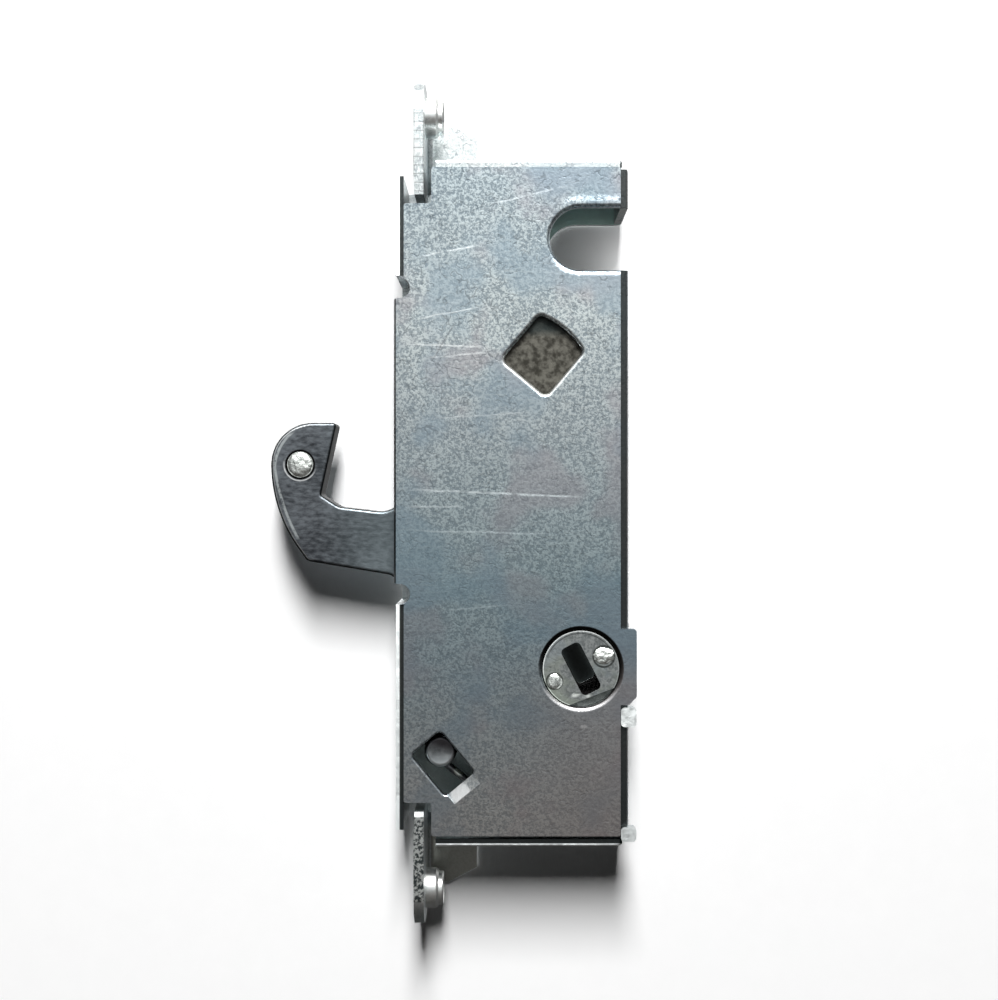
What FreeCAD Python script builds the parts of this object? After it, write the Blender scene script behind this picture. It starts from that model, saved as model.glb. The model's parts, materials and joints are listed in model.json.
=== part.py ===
import FreeCAD, Part
import math
import os
import Sketcher
from FreeCAD import Placement, Rotation, Vector

# Sliding door mortise lock: a stamped steel case holds an upward hook, a hub for
# the handle's tailpiece and a toggle spring. Millimetres, +Z up, the hook points to -X.
# The origin lies midway between the two face screws, on the front of the two ears.

doc = FreeCAD.newDocument("mortise_lock")
sheet = doc.addObject("Spreadsheet::Sheet", "sizes")

driving_sizes = {
    # case
    "case_thickness": 12.0,
    "sheet_thickness": 0.9,
    "case_front": 2.1,
    "case_back": 25.35,
    "case_half_height": 40.6,
    "bend_radius": 1.3,
    "fit_gap": 0.05,
    "cover_top_gap": 0.12,
    "cover_bottom_gap": 0.45,
    "cover_side_gap": 0.05,
    "wall_short": 0.55,
    "upper_wall_start": 26.9,
    "lower_wall_start": -12.0,
    "wall_end_depth": 2.0,
    "plan_corner": 1.6,
    "corner_width": 2.1,
    "wall_relief": 0.5,
    "corner_relief": 1.2,
    "wall_end_relief": 0.75,
    "corner_depth": 5.3,
    "inside_corner": 0.3,
    "flange_stand_off": 0.3,
    "flange_top": 24.15,
    "flange_bottom": -9.54,
    "relief_height": 2.4,
    "relief_depth": 2.0,
    "mouth_top": 5.6,
    "mouth_side_gap": 0.35,
    "mouth_corner": 1.0,
    "bulge": 0.95,
    "bulge_above": 4.75,
    "bulge_below": 4.3,
    "bulge_corner": 0.4,
    "wall_roll": 0.35,
    "stake_reach": 1.8,
    "stake_depth": 1.3,
    "stake_corner": 0.45,
    "side_stake_drop": 4.55,
    "side_stake_height": 2.3,
    "corner_stake_depth": 0.5,
    "corner_stake_height": 1.7,
    # ears and face screws
    "screw_above_case": 6.23,
    "ear_thickness": 1.2,
    "ear_start_depth": 4.25,
    "ear_neck_set_back": 0.1,
    "ear_above_case": 9.8,
    "ear_corner": 4.0,
    "ear_bend_radius": 2.0,
    "ear_fold_width": 0.35,
    "gusset_width": 7.3,
    "gusset_above_case": 5.0,
    "gusset_slope": 1.9,
    "gusset_corner": 0.8,
    "nut_radius": 2.4,
    "nut_height": 1.55,
    "nut_nose_radius": 2.05,
    "nut_nose_height": 0.6,
    "nut_shank_radius": 2.15,
    "thread_bore": 1.73,
    "nut_edge": 0.3,
    # holes in the plates
    "notch_centre": 19.75,
    "notch_below_top": 9.44,
    "notch_radius": 3.71,
    "diamond_centre": 15.37,
    "diamond_below_top": 23.06,
    "diamond_length": 7.3,
    "diamond_width": 6.7,
    "diamond_turn": 50.0,
    "diamond_depth": 1.0,
    "diamond_floor_grow": 0.5,
    "diamond_bow": 0.43,
    "diamond_bow_radius": 10.0,
    "window_centre": 3.47,
    "window_above_bottom": 9.85,
    "window_length": 6.5,
    "window_width": 4.5,
    "window_turn": -50.3,
    "hole_corner": 0.7,
    "notch_roll": 0.45,
    "diamond_roll": 0.5,
    "window_roll": 0.25,
    "hub_hole_roll": 0.55,
    "window_flare": 1.3,
    "window_flare_width": 3.9,
    # hook
    "pivot_centre": 2.5,
    "pivot_level": 22.0,
    "plate_thickness": 1.6,
    "boss_radius": 3.4,
    "hook_reach": 17.36,
    "hook_tip_level": 9.64,
    "hook_nose_radius": 5.0,
    "hook_back_level": -0.95,
    "hook_root_inset": 4.36,
    "hook_root_level": -7.0,
    "hook_corner": 0.9,
    "edge_corner": 0.4,
    "hook_tip_width": 7.91,
    "hook_mouth_lean": 1.9,
    "hook_seat": 0.95,
    "throat_step": 0.25,
    "throat_rise": 1.0,
    "throat_radius": 1.8,
    "arm_top": -1.45,
    "arm_bottom": -8.65,
    "arm_root": -3.0,
    "elbow_radius": 3.4,
    "heel_level": -10.35,
    "heel_front": -0.6,
    "heel_back": 1.6,
    "tail_back": 5.6,
    "tail_level": -4.2,
    "body_back": 6.6,
    "body_back_level": 4.0,
    "body_bend": 6.0,
    "shoulder_drop": 8.0,
    "tip_rivet_inset": 3.52,
    "hook_roll": 0.38,
    "tip_rivet_level": 4.62,
    "tip_rivet_radius": 1.55,
    "tip_recess_radius": 1.75,
    "tip_recess_depth": 0.25,
    "body_rivet_radius": 1.25,
    "body_rivet_level": 10.5,
    "body_rivet_spacing": 7.5,
    "bush_radius": 2.6,
    "post_radius": 1.9,
    "running_gap": 0.04,
    "post_flange_radius": 3.2,
    "tail_share": 0.75,
    "tail_height": 0.2,
    "turned_edge": 0.2,
    "drive_pin_radius": 1.5,
    "drive_pin_arm": 25.0,
    # stroke from locked to unlocked
    "hub_swing": 45.0,
    "hook_swing": 42.1,
    # hub
    "hub_centre": 19.73,
    "hub_level": -19.55,
    "hub_radius": 4.5,
    "hub_disc_radius": 5.5,
    "hub_recess": 0.2,
    "hub_flat": 3.5,
    "hub_flat_turn": -69.0,
    "core_half": 2.7,
    "cam_side_gap": 0.2,
    "slot_width": 2.5,
    "slot_length": 6.15,
    "slot_turn": 27.0,
    "slot_corner": 0.6,
    "hub_rivet_radius": 0.85,
    "hub_rivet_rim": 0.25,
    "fork_end": 25.2,
    "fork_root": 18.2,
    "fork_wall": 1.5,
    "fork_clearance": 0.08,
    "prong_width": 1.9,
    "prong_corner": 0.8,
    "arm_half_width": 3.0,
    "arm_taper_length": 5.0,
    "arm_root_half_width": 4.5,
    "spring_pin_arm": 7.5,
    "spring_pin_turn": 234.8,
    "spring_pin_radius": 0.8,
    "lobe_radius": 1.9,
    "lobe_root_half_width": 3.5,
    # toggle spring
    "spring_post_x": 3.1,
    "spring_post_above_bottom": 11.1,
    "spring_post_radius": 1.2,
    "spring_post_flange": 2.2,
    "spring_post_end": -4.6,
    "spring_post_head": 1.9,
    "spring_post_head_height": 2.2,
    "spring_post_head_round": 0.5,
    "wire_diameter": 0.9,
    "coil_centre": 10.5,
    "coil_above_bottom": 6.4,
    "coil_radius": 2.7,
    "coil_pitch": 1.46,
    "coil_whole_turns": 2,
    "eye_gap": 0.05,
    "eye_turn": 270.0,
}

# what follows the case's height, as the sheet's own formulas
derived_sizes = {
    "corner_start": "=case_half_height - corner_depth",
    "wall_end_level": "=case_half_height - wall_end_depth",
    "ear_start_level": "=case_half_height - ear_start_depth",
    "screw_level": "=case_half_height + screw_above_case",
    "ear_end": "=case_half_height + ear_above_case",
    "gusset_height": "=case_half_height + gusset_above_case",
    "notch_level": "=case_half_height - notch_below_top",
    "diamond_level": "=case_half_height - diamond_below_top",
    "window_level": "=window_above_bottom - case_half_height",
    "spring_post_level": "=spring_post_above_bottom - case_half_height",
    "coil_level": "=coil_above_bottom - case_half_height",
    "tip_rivet_x": "=tip_rivet_inset - hook_reach",
    "hook_mouth": "=hook_reach - hook_tip_width",
    "hub_rivet_offset": "=hub_radius - hub_rivet_radius - hub_rivet_rim",
}

for row, (name, value) in enumerate({**driving_sizes, **derived_sizes}.items(), 1):
    sheet.set(f"A{row}", name.replace("_", " "))
    sheet.set(f"B{row}", str(value))
    sheet.setAlias(f"B{row}", name)
doc.recompute()


class Sizes:
    def __getattr__(self, name):
        return float(sheet.get(name))


size = Sizes()
front_face = -size.case_thickness / 2
rear_face = size.case_thickness / 2
inner_front = front_face + size.sheet_thickness
inner_rear = rear_face - size.sheet_thickness
wall_back_inside = size.case_back - size.sheet_thickness
wall_front_outside = -size.case_front
wall_front_inside = wall_front_outside + size.sheet_thickness
wall_top_inside = size.case_half_height - size.sheet_thickness
flange_outside = wall_front_outside - size.flange_stand_off
flange_inside = flange_outside + size.sheet_thickness
hook_half = 1.5 * size.plate_thickness
pivot = Vector(size.pivot_centre, 0, size.pivot_level)
hub = Vector(size.hub_centre, 0, size.hub_level)


def spot(x, z, y=0.0):
    return Vector(x, y, z)


def around(centre, radius, degrees):
    turn = math.radians(degrees)
    return centre + Vector(radius * math.cos(turn), 0, radius * math.sin(turn))


def rounded(corners):
    """Lines and tangent arcs through corners given as (x, z, radius); a radius below 0 is a flat cut."""
    flat = [(Vector(x, z, 0), radius) for x, z, radius in corners]
    ends = []
    for i, (corner, radius) in enumerate(flat):
        before = (flat[i - 1][0] - corner).normalize()
        after = (flat[(i + 1) % len(flat)][0] - corner).normalize()
        half = before.getAngle(after) / 2
        cut = radius / math.tan(half) if radius > 0 else -radius
        middle = corner + (before + after).normalize() * (radius / math.sin(half) - radius)
        ends.append((corner + before * cut, middle, corner + after * cut, radius))
    pieces = []
    for i, (start, middle, stop, radius) in enumerate(ends):
        if radius > 0:
            pieces.append(Part.Arc(start, middle, stop))
        if radius < 0:
            pieces.append(Part.LineSegment(start, stop))
        following = ends[(i + 1) % len(ends)][0]
        if (following - stop).Length > 1e-6:
            pieces.append(Part.LineSegment(stop, following))
    return pieces


def box_corners(x_low, x_high, z_low, z_high, radius=0.0):
    return [(x_low, z_low, radius), (x_high, z_low, radius), (x_high, z_high, radius),
            (x_low, z_high, radius)]


def turned(points, x, z, degrees):
    """Points given along and across a line through (x, z), turned to where they lie."""
    turn = math.radians(degrees)
    return [(x + a * math.cos(turn) - b * math.sin(turn), z + a * math.sin(turn) + b * math.cos(turn), radius)
            for a, b, radius in points]


def turned_box(x, z, length, width, degrees, radius):
    return turned(box_corners(-length / 2, length / 2, -width / 2, width / 2, radius), x, z, degrees)


def new_body(label):
    body = doc.addObject("PartDesign::Body", label)
    body.Label = label
    return body


def sketch_on(body, name, role, offset):
    """A sketch on one of the body's own planes, moved along that plane's normal."""
    drawing = body.newObject("Sketcher::SketchObject", name)
    face = next(f for f in body.Origin.OriginFeatures if f.Role == role)
    drawing.AttachmentSupport = [(face, "")]
    drawing.MapMode = "FlatFace"
    drawing.setExpression("AttachmentOffset.Base.z", offset)
    return drawing


def add_circle(drawing, x, z, radius):
    """A circle held to the sheet by its radius and its centre, all given as formulas."""
    at = [drawing.evalExpression(text) for text in (x, z, radius)]
    mark = drawing.addGeometry(Part.Circle(Vector(at[0], at[1], 0), Vector(0, 0, 1), at[2]), False)
    first = drawing.ConstraintCount
    drawing.addConstraint(Sketcher.Constraint("Radius", mark, at[2]))
    drawing.addConstraint(Sketcher.Constraint("DistanceX", -1, 1, mark, 3, at[0]))
    drawing.addConstraint(Sketcher.Constraint("DistanceY", -1, 1, mark, 3, at[1]))
    for step, text in enumerate((radius, x, z)):
        drawing.setExpression(f"Constraints[{first + step}]", text)


def settled(feature):
    doc.recompute()
    if "Invalid" in feature.State or feature.Shape.isNull():
        raise ValueError(feature.Name + " failed")
    return feature


def pad_up(body, drawing, length):
    """Adds the drawing's area from its own plane towards the cover side, -Y."""
    pad = body.newObject("PartDesign::Pad", drawing.Name + "_pad")
    pad.Profile = drawing
    pad.setExpression("Length", length)
    return settled(pad)


def cut_through(body, drawing):
    """Cuts the drawing's area through the whole body, both ways."""
    before = body.Shape.Volume
    pocket = body.newObject("PartDesign::Pocket", drawing.Name + "_cut")
    pocket.Profile = drawing
    pocket.Type = 1
    pocket.Midplane = True
    doc.recompute()
    if body.Shape.Volume > before - 1e-3:
        raise ValueError(drawing.Name + " cuts nothing")
    return pocket


def cut_up(body, drawing, length=None):
    """Cuts the drawing's area from its own plane along that plane's normal."""
    before = body.Shape.Volume
    pocket = body.newObject("PartDesign::Pocket", drawing.Name + "_cut")
    pocket.Profile = drawing
    pocket.Reversed = True
    if length:
        pocket.setExpression("Length", length)
    else:
        pocket.Type = 1
    doc.recompute()
    if body.Shape.Volume > before - 1e-3:
        raise ValueError(drawing.Name + " cuts nothing")
    return pocket


def edge_names(shape, test):
    return [f"Edge{i}" for i, edge in enumerate(shape.Edges, 1) if test(edge)]


def along(edge, axis):
    if edge.Curve.TypeId != "Part::GeomLine":
        return False
    way = edge.Vertexes[-1].Point - edge.Vertexes[0].Point
    return way.Length > 0 and abs(getattr(way.normalize(), axis)) > 0.999


def near(edge, **places):
    centre = edge.CenterOfMass
    return all(abs(getattr(centre, axis) - value) < 0.02 for axis, value in places.items())


def round_edges(body, name, radius, test):
    base = body.Tip
    fillet = body.newObject("PartDesign::Fillet", name)
    fillet.Base = (base, edge_names(base.Shape, test))
    fillet.setExpression("Radius", radius)
    return settled(fillet)


def in_plane(edge, level):
    box = edge.BoundBox
    return abs(box.YMin - level) < sliver and abs(box.YMax - level) < sliver


def on_rim(edge, level, x, z, reach):
    """Whether the edge lies in the plane Y = level, with its middle within reach of (x, z)."""
    centre = edge.CenterOfMass
    return in_plane(edge, level) and abs(centre.x - x) < reach and abs(centre.z - z) < reach


half_thickness = "sizes.case_thickness / 2"
inside_half = "(sizes.case_thickness / 2 - sizes.sheet_thickness)"
overshoot = 1.0  # how far a cut's drawing runs past what it cuts
nearly = 0.999  # two full rounds side by side keep a sliver of straight edge between them
sliver = 0.01


def notch_corners():
    low = size.notch_level - size.notch_radius
    high = size.notch_level + size.notch_radius
    left = size.notch_centre - size.notch_radius
    right = size.case_back + size.bulge + overshoot
    return [(left, low, size.notch_radius * nearly), (right, low, 0), (right, high, 0),
            (left, high, size.notch_radius * nearly)]


def diamond_corners(grow):
    """The diamond's outline, with one bowed side, grown outwards all round."""
    half = size.diamond_length / 2 + grow
    side = size.diamond_width / 2 + grow
    corner = size.hole_corner + grow
    return turned([(-half, -side, corner), (half - size.diamond_bow, -side, corner),
                   (half + size.diamond_bow, 0, size.diamond_bow_radius), (half - size.diamond_bow, side, corner),
                   (-half, side, corner)], size.diamond_centre, size.diamond_level, size.diamond_turn)


def bulge_corners(left, gap):
    low = size.hub_level - size.bulge_below + gap
    high = size.hub_level + size.bulge_above - gap
    right = size.case_back + size.bulge
    return [(left, low, 0), (size.case_back, low, 0), (right, low + size.bulge, size.bulge_corner),
            (right, high, size.bulge_corner), (left, high, 0)]


def make_case_tray():
    body = new_body("case_tray")
    back = size.case_back
    top = size.case_half_height
    front = wall_front_outside
    low_end = -size.wall_end_level
    high_end = size.wall_end_level
    wall_end = size.corner_width + size.wall_relief

    block = sketch_on(body, "tray_block", "XZ_Plane", "-" + half_thickness)
    block.addGeometry(rounded(box_corners(front, back, -top, top, size.plan_corner)), False)
    pad_up(body, block, "sizes.case_thickness - sizes.wall_short")
    round_edges(body, "tray_bends", "sizes.bend_radius", lambda edge: near(edge, y=rear_face))

    hollow = sketch_on(body, "tray_hollow", "XZ_Plane", "-" + inside_half)
    hollow.addGeometry(rounded(box_corners(wall_front_inside, wall_back_inside,
                                           -wall_top_inside, wall_top_inside, size.inside_corner)), False)
    cut_up(body, hollow)

    # what is left of the walls: gaps at the folds, the open front and the hub window
    gaps = {
        "tray_front_gap": (front, wall_front_inside, size.lower_wall_start, size.upper_wall_start),
        "tray_top_front_gap": (front, wall_end, high_end, top),
        "tray_bottom_front_gap": (front, wall_end, -top, low_end),
        "tray_top_back_gap": (back - size.wall_end_relief, back, top - size.corner_relief, top),
        "tray_bottom_back_gap": (back - size.wall_end_relief, back, -top, size.corner_relief - top),
        "tray_back_top_gap": (wall_back_inside, back, top - size.corner_relief, wall_top_inside),
        "tray_back_bottom_gap": (wall_back_inside, back, -wall_top_inside, size.corner_relief - top),
        "tray_hub_window": (wall_back_inside, back, size.hub_level - size.bulge_below,
                            size.hub_level + size.bulge_above),
    }
    for name, (x_low, x_high, z_low, z_high) in gaps.items():
        gap = sketch_on(body, name, "XZ_Plane", "-" + inside_half)
        x_low -= overshoot * (x_low == front) + sliver * (x_low == wall_back_inside)
        x_high += overshoot * (x_high == back) + sliver * (x_high == wall_front_inside)
        z_low -= overshoot * (z_low == -top)
        z_high += overshoot * (z_high == top)
        gap.addGeometry(rounded(box_corners(x_low, x_high, z_low, z_high)), False)
        cut_up(body, gap)
    for word, z_low, z_high in (("upper", high_end, top + overshoot), ("lower", -top - overshoot, low_end)):
        corner = sketch_on(body, word + "_ear_corner", "XZ_Plane", "0 mm")
        corner.addGeometry(rounded(box_corners(front - overshoot, 0, z_low, z_high)), False)
        cut_through(body, corner)

    bulge = sketch_on(body, "tray_bulge", "XZ_Plane", "-" + half_thickness)
    bulge.addGeometry(rounded(bulge_corners(wall_back_inside - size.bend_radius, 0)), False)
    pad_up(body, bulge, "sizes.sheet_thickness")

    # the walls' near edges are rolled by the blanking
    wall_near = front_face + size.wall_short
    round_edges(body, "tray_wall_rolls", "sizes.wall_roll", lambda edge: in_plane(edge, wall_near) and
                (along(edge, "z") and near(edge, x=back) or
                 along(edge, "x") and abs(abs(edge.CenterOfMass.z) - top) < sliver))

    # two stakes stand out of the back wall's near end
    bulge_foot = size.hub_level - size.side_stake_drop
    wall_foot = -top - size.corner_stake_depth + size.corner_relief
    stakes = {
        "tray_side_stake": (bulge_foot - size.side_stake_height, bulge_foot),
        "tray_corner_stake": (wall_foot, wall_foot + size.corner_stake_height),
    }
    for name, (z_low, z_high) in stakes.items():
        stake = sketch_on(body, name, "XZ_Plane", half_thickness + " - sizes.fit_gap - sizes.stake_depth")
        stake.addGeometry(rounded(box_corners(wall_back_inside, wall_back_inside + size.stake_reach,
                                              z_low, z_high, size.stake_corner)), False)
        pad_up(body, stake, "sizes.stake_depth")

    # each ear and its gusset are one folded strip, and its neck stands back from the ear's face
    ear_top = size.ear_end - size.ear_corner / 2
    slope_top = size.gusset_height + size.gusset_slope
    thick = size.ear_thickness
    for side, word in ((1, "upper"), (-1, "lower")):
        sign = "" if side > 0 else "-"
        strip = sketch_on(body, word + "_ear_strip", "XY_Plane", sign + "(sizes.wall_end_level + sizes.fit_gap)")
        strip.addGeometry(rounded([(0, front_face, 0), (thick, front_face, 0),
                                   (thick, inner_rear, size.ear_bend_radius - thick),
                                   (size.gusset_width, inner_rear, 0), (size.gusset_width, rear_face, 0),
                                   (0, rear_face, size.ear_bend_radius)]), False)
        pad_up(body, strip, "sizes.ear_end - sizes.wall_end_level - sizes.fit_gap").Reversed = side < 0
        doc.recompute()
        neck = sketch_on(body, word + "_ear_neck", "XY_Plane", sign + "sizes.ear_start_level")
        neck.addGeometry(rounded(box_corners(size.ear_neck_set_back, thick, front_face, inner_rear + sliver)), False)
        pad_up(body, neck, "sizes.wall_end_level + 2 * sizes.fit_gap - sizes.ear_start_level").Reversed = side < 0
        doc.recompute()
        end = side * size.ear_end
        past = end + side * overshoot
        low_side = side * size.gusset_height
        outside = size.gusset_width + overshoot
        slope = sketch_on(body, word + "_gusset_slope", "XZ_Plane", "0 mm")
        fold = thick + size.ear_fold_width
        corners = [(fold, past, 0), (fold, side * ear_top, 0),
                   (size.gusset_width / 2, side * slope_top, size.gusset_corner),
                   (size.gusset_width, low_side, 0), (outside, low_side, 0), (outside, past, 0)]
        slope.addGeometry(rounded(corners), False)
        cut_through(body, slope)
        far = rear_face - size.ear_corner
        foot = end - side * size.ear_corner
        behind = rear_face + overshoot
        shoulder = sketch_on(body, word + "_ear_shoulder", "YZ_Plane", "0 mm")
        shoulder.addGeometry(rounded([(far, past, 0), (far, end, 0), (rear_face + size.tail_height, foot, 0),
                                      (behind, foot, 0), (behind, past, 0)]), False)
        cut_through(body, shoulder)
        screw_hole = sketch_on(body, word + "_screw_hole", "YZ_Plane", "0 mm")
        add_circle(screw_hole, "0 mm", sign + "sizes.screw_level", "sizes.nut_shank_radius")
        cut_up(body, screw_hole, "sizes.ear_thickness + sizes.ear_bend_radius")
    round_edges(body, "ear_ends", "sizes.ear_corner", lambda edge: along(edge, "x")
                and abs(abs(edge.CenterOfMass.z) - size.ear_end) < sliver and near(edge, y=front_face))

    notch = sketch_on(body, "tray_notch", "XZ_Plane", "0 mm")
    notch.addGeometry(rounded(notch_corners()), False)
    cut_through(body, notch)
    holes = {
        "tray_hub_hole": ("sizes.hub_centre", "sizes.hub_level", "sizes.hub_radius + sizes.fit_gap"),
        "tray_pivot_hole": ("sizes.pivot_centre", "sizes.pivot_level", "sizes.post_radius * sizes.tail_share"),
        "tray_spring_hole": ("sizes.spring_post_x", "sizes.spring_post_level",
                             "sizes.spring_post_radius * sizes.tail_share"),
    }
    for name, (x, z, radius) in holes.items():
        hole = sketch_on(body, name, "XZ_Plane", "0 mm")
        add_circle(hole, x, z, radius)
        cut_through(body, hole)


def make_case_cover():
    body = new_body("case_cover")
    left = wall_front_inside + size.fit_gap
    right = wall_back_inside - size.cover_side_gap
    top = wall_top_inside - size.cover_top_gap
    bottom = size.cover_bottom_gap - wall_top_inside
    relief = flange_outside + size.relief_depth
    corner = size.inside_corner
    relief_round = size.relief_height / 2 * nearly
    above = size.flange_top + size.relief_height
    below = size.flange_bottom - size.relief_height
    plate = sketch_on(body, "cover_plate", "XZ_Plane", inside_half)
    outline = [(flange_outside, size.flange_bottom, 0), (relief, size.flange_bottom, relief_round),
               (relief, below, relief_round), (left, below, corner), (left, -size.corner_start, corner),
               (size.corner_width, -size.corner_start, corner), (size.corner_width, bottom, corner),
               (right, bottom, corner)]
    outline += bulge_corners(right, size.fit_gap)
    outline += [(right, top, corner), (size.corner_width, top, corner),
                (size.corner_width, size.corner_start, corner), (left, size.corner_start, corner),
                (left, above, corner), (relief, above, relief_round),
                (relief, size.flange_top, relief_round), (flange_outside, size.flange_top, 0)]
    plate.addGeometry(rounded(outline), False)
    pad_up(body, plate, "sizes.sheet_thickness")

    flange = sketch_on(body, "cover_flange", "XZ_Plane", half_thickness)
    flange.addGeometry(rounded(box_corners(flange_outside, flange_inside,
                                           size.flange_bottom, size.flange_top)), False)
    pad_up(body, flange, "sizes.case_thickness - sizes.sheet_thickness - sizes.fit_gap").Reversed = True
    doc.recompute()
    round_edges(body, "cover_fold", "sizes.bend_radius",
                lambda edge: along(edge, "z") and near(edge, x=flange_outside, y=front_face))
    round_edges(body, "cover_fold_inside", "sizes.bend_radius - sizes.sheet_thickness",
                lambda edge: along(edge, "z") and near(edge, x=flange_inside, y=inner_front))

    mouth = sketch_on(body, "cover_mouth", "YZ_Plane", "0 mm")
    half = hook_half + size.mouth_side_gap
    below = size.flange_bottom - overshoot
    mouth.addGeometry(rounded([(-half, below, 0), (half, below, 0), (half, size.mouth_top, size.mouth_corner),
                               (-half, size.mouth_top, size.mouth_corner)]), False)
    cut_through(body, mouth)
    holes = {
        "cover_notch": notch_corners(),
        "cover_window": turned_box(size.window_centre, size.window_level, size.window_length,
                                   size.window_width, size.window_turn, size.hole_corner),
    }
    for name, corners in holes.items():
        opening = sketch_on(body, name, "XZ_Plane", "0 mm")
        opening.addGeometry(rounded(corners), False)
        cut_through(body, opening)
    hole = sketch_on(body, "cover_hub_hole", "XZ_Plane", "0 mm")
    add_circle(hole, "sizes.hub_centre", "sizes.hub_level", "sizes.hub_radius + sizes.fit_gap")
    cut_through(body, hole)

    # the diamond is half pierced: its floor is pushed in and stays on
    floor = sketch_on(body, "cover_diamond_floor", "XZ_Plane", inside_half + " - sizes.diamond_depth")
    floor.addGeometry(rounded(diamond_corners(size.diamond_floor_grow)), False)
    pad_up(body, floor, "sizes.diamond_depth")
    diamond = sketch_on(body, "cover_diamond", "XZ_Plane", half_thickness + " - sizes.diamond_depth")
    diamond.addGeometry(rounded(diamond_corners(0)), False)
    cut_up(body, diamond)

    # punching rolls the near rims
    rolls = {
        "diamond_roll": (size.diamond_centre, size.diamond_level, size.diamond_length),
        "hub_hole_roll": (size.hub_centre, size.hub_level, size.fit_gap),
        "window_roll": (size.window_centre, size.window_level, size.window_length / 2 + size.hole_corner),
        "notch_roll": (size.notch_centre, size.notch_level, size.case_back - size.notch_centre),
    }
    for name, (x, z, reach) in rolls.items():
        round_edges(body, "cover_" + name, "sizes." + name,
                    lambda edge: on_rim(edge, front_face, x, z, reach) and edge.CenterOfMass.x < right - sliver)

    # the window's lower end slopes down into the case
    flare = sketch_on(body, "cover_window_flare", "XY_Plane", "sizes.window_level")
    flare.setExpression("AttachmentOffset.Base.x", "sizes.window_centre")
    flare.AttachmentOffset = Placement(Vector(), Rotation(Vector(0, 1, 0), -size.window_turn))
    end = size.window_length / 2
    lip = end + size.window_flare
    above = front_face - overshoot
    flare.addGeometry(rounded([(0, inner_front, 0), (end, inner_front, 0), (lip, front_face, 0),
                               (lip, above, 0), (0, above, 0)]), False)
    slope = body.newObject("PartDesign::Pocket", "cover_window_slope")
    slope.Profile = flare
    slope.Midplane = True
    slope.setExpression("Length", "sizes.window_flare_width")
    settled(slope)


def make_turned(label, plane_role, profile, place):
    """A part turned about the axis that its profile's first coordinate runs along."""
    body = new_body(label)
    drawing = sketch_on(body, label + "_profile", plane_role, "0 mm")
    drawing.addGeometry(rounded(profile), False)
    turn = body.newObject("PartDesign::Revolution", label + "_turn")
    turn.Profile = drawing
    turn.ReferenceAxis = (drawing, ["H_Axis"])
    for axis, text in place.items():
        body.setExpression("Placement.Base." + axis, text)
    doc.recompute()
    return body


def make_clinch_nut(label, level):
    ear = size.ear_thickness
    shoulder = ear + size.nut_height
    nose = shoulder + size.nut_nose_height
    bore = size.thread_bore
    profile = [(0, bore, 0), (0, size.nut_shank_radius, 0), (ear, size.nut_shank_radius, 0),
               (ear, size.nut_radius, 0), (shoulder, size.nut_radius, -size.nut_edge),
               (shoulder, size.nut_nose_radius, 0), (nose, size.nut_nose_radius, -size.nut_edge / 2),
               (nose, bore, -size.nut_edge / 2)]
    make_turned(label, "XZ_Plane", profile, {"z": level})


def hook_outline():
    left = size.pivot_centre - size.boss_radius
    right = size.pivot_centre + size.boss_radius
    boss_top = size.pivot_level + size.boss_radius
    boss_round = size.boss_radius * nearly
    reach = -size.hook_reach
    tip = size.hook_tip_level
    mouth = -size.hook_mouth
    seat = mouth - size.hook_mouth_lean
    root = Vector(reach + size.hook_root_inset, size.hook_root_level, 0)
    back = Vector(reach, size.hook_back_level, 0)
    # the back's round fills the straight stretch below the nose
    lean = (back - root).getAngle(Vector(0, 1, 0))
    back_radius = (tip - size.hook_nose_radius - back.y) * nearly / math.tan(lean / 2)
    return [(root.x, root.y, size.hook_corner), (back.x, back.y, back_radius),
            (reach, tip, size.hook_nose_radius), (mouth, tip, size.edge_corner),
            (seat, size.hook_seat, size.edge_corner),
            (mouth + size.throat_step, size.arm_top + size.throat_rise, size.throat_radius),
            (left, size.arm_top, size.elbow_radius), (left, boss_top, boss_round), (right, boss_top, boss_round),
            (right, size.pivot_level - size.shoulder_drop, size.body_bend),
            (size.body_back, size.body_back_level, size.body_bend),
            (size.tail_back, size.tail_level, size.throat_radius),
            (size.heel_back, size.heel_level, size.hook_corner),
            (size.heel_front, size.heel_level, size.hook_corner),
            (size.arm_root, size.arm_bottom, size.throat_radius)]


hook_holes = {
    "bush": ("sizes.pivot_centre", "sizes.pivot_level", "sizes.bush_radius"),
    "tip": ("sizes.tip_rivet_x", "sizes.tip_rivet_level", "sizes.tip_rivet_radius"),
    "pin": ("sizes.pivot_centre", "sizes.pivot_level - sizes.drive_pin_arm", "sizes.drive_pin_radius"),
    "upper": ("sizes.pivot_centre", "sizes.body_rivet_level", "sizes.body_rivet_radius"),
    "lower": ("sizes.pivot_centre", "sizes.body_rivet_level - sizes.body_rivet_spacing",
              "sizes.body_rivet_radius"),
}


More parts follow.
